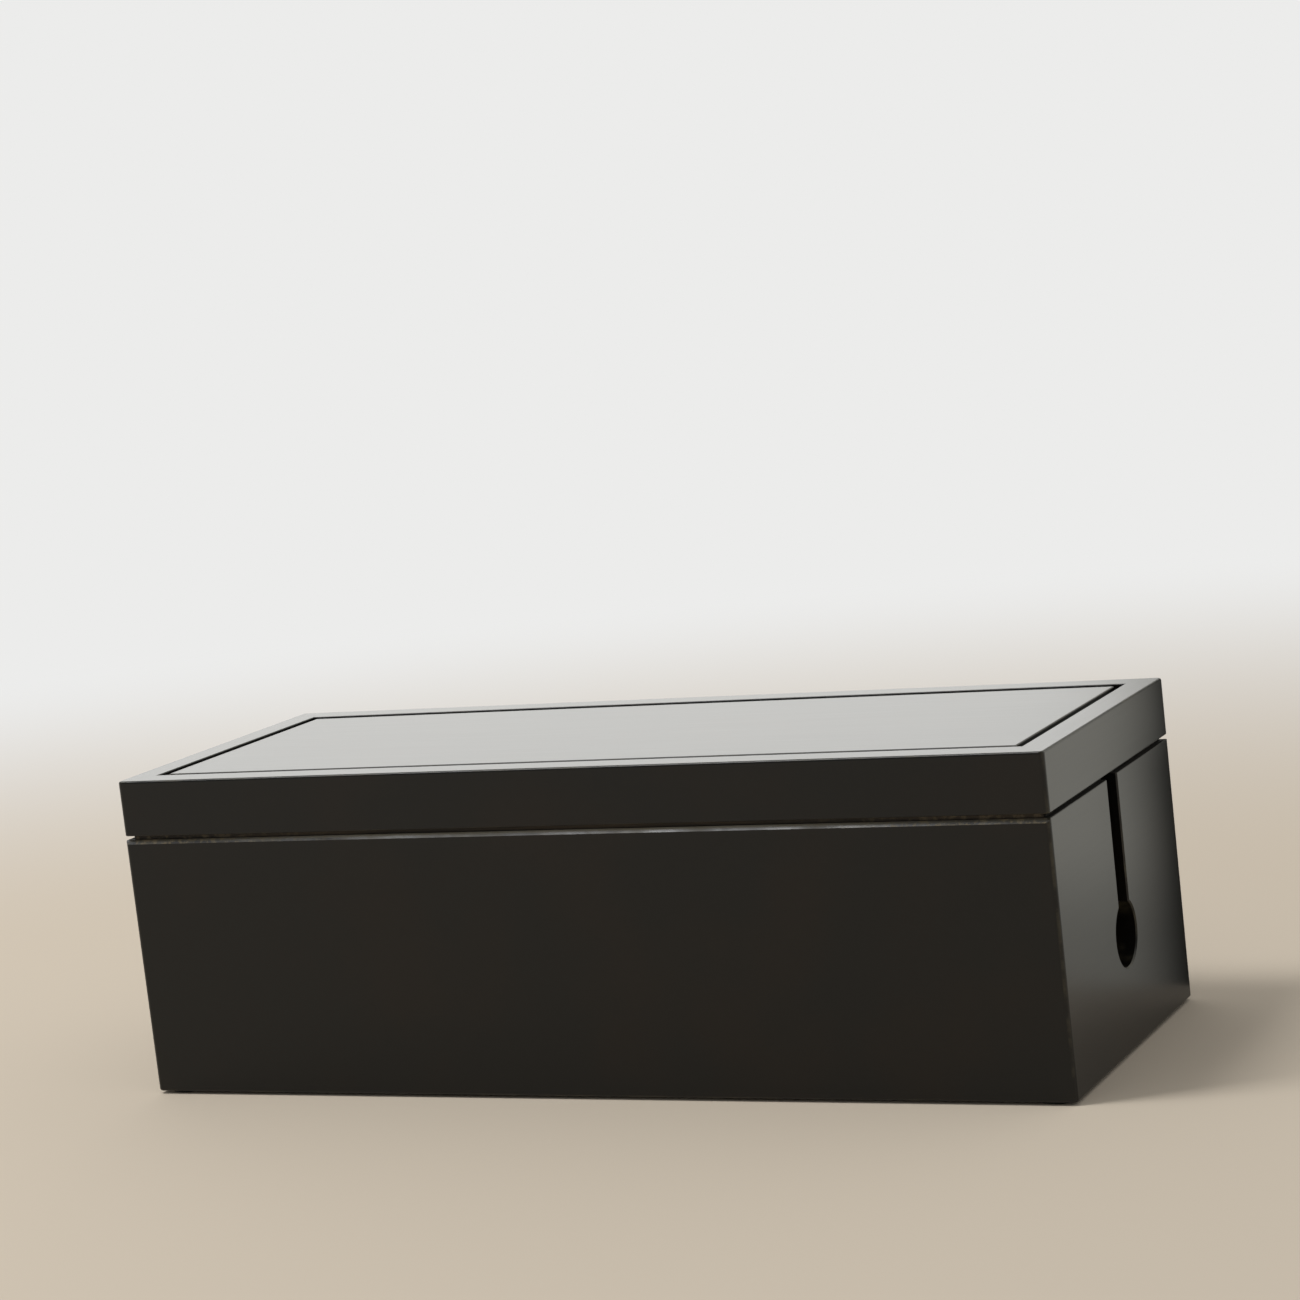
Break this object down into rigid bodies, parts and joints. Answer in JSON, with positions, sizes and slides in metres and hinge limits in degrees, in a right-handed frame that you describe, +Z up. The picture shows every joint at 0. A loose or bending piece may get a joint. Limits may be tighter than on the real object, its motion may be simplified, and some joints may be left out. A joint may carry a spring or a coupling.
{
  "type": "cable management box",
  "caption": "Low black wooden box with a loose framed lid, a shadow gap under the lid and a keyhole-shaped cable opening in each end, on rubber feet.",
  "frame": {"origin": "centre of the footprint, at the level that the feet stand on", "axes": "+X along the front to the right, +Y to the back, +Z up"},
  "size_m": [0.4, 0.152, 0.1325],
  "materials": {
    "black_lacquer": "smooth boards sprayed with satin black lacquer, edges eased",
    "stained_board": "thin board and strips, stained black-brown, matt",
    "foot_rubber": "matt moulded pad"
  },
  "bodies": {
    "box": {"front_wall": "black_lacquer", "back_wall": "black_lacquer", "left_wall": "black_lacquer", "right_wall": "black_lacquer", "bottom_panel": "stained_board", "foot_front_left": "foot_rubber", "foot_front_right": "foot_rubber", "foot_back_left": "foot_rubber", "foot_back_right": "foot_rubber"},
    "lid": {"lid_front_rail": "black_lacquer", "lid_back_rail": "black_lacquer", "lid_left_rail": "black_lacquer", "lid_right_rail": "black_lacquer", "lid_panel": "black_lacquer", "lid_front_strip": "stained_board", "lid_back_strip": "stained_board", "lid_left_strip": "stained_board", "lid_right_strip": "stained_board"}
  },
  "joints": [
    {"name": "lid_lift", "type": "slide", "parent": "box", "child": "lid", "axis": [0, 0, 1], "range_m": [0, 0.1]}
  ]
}
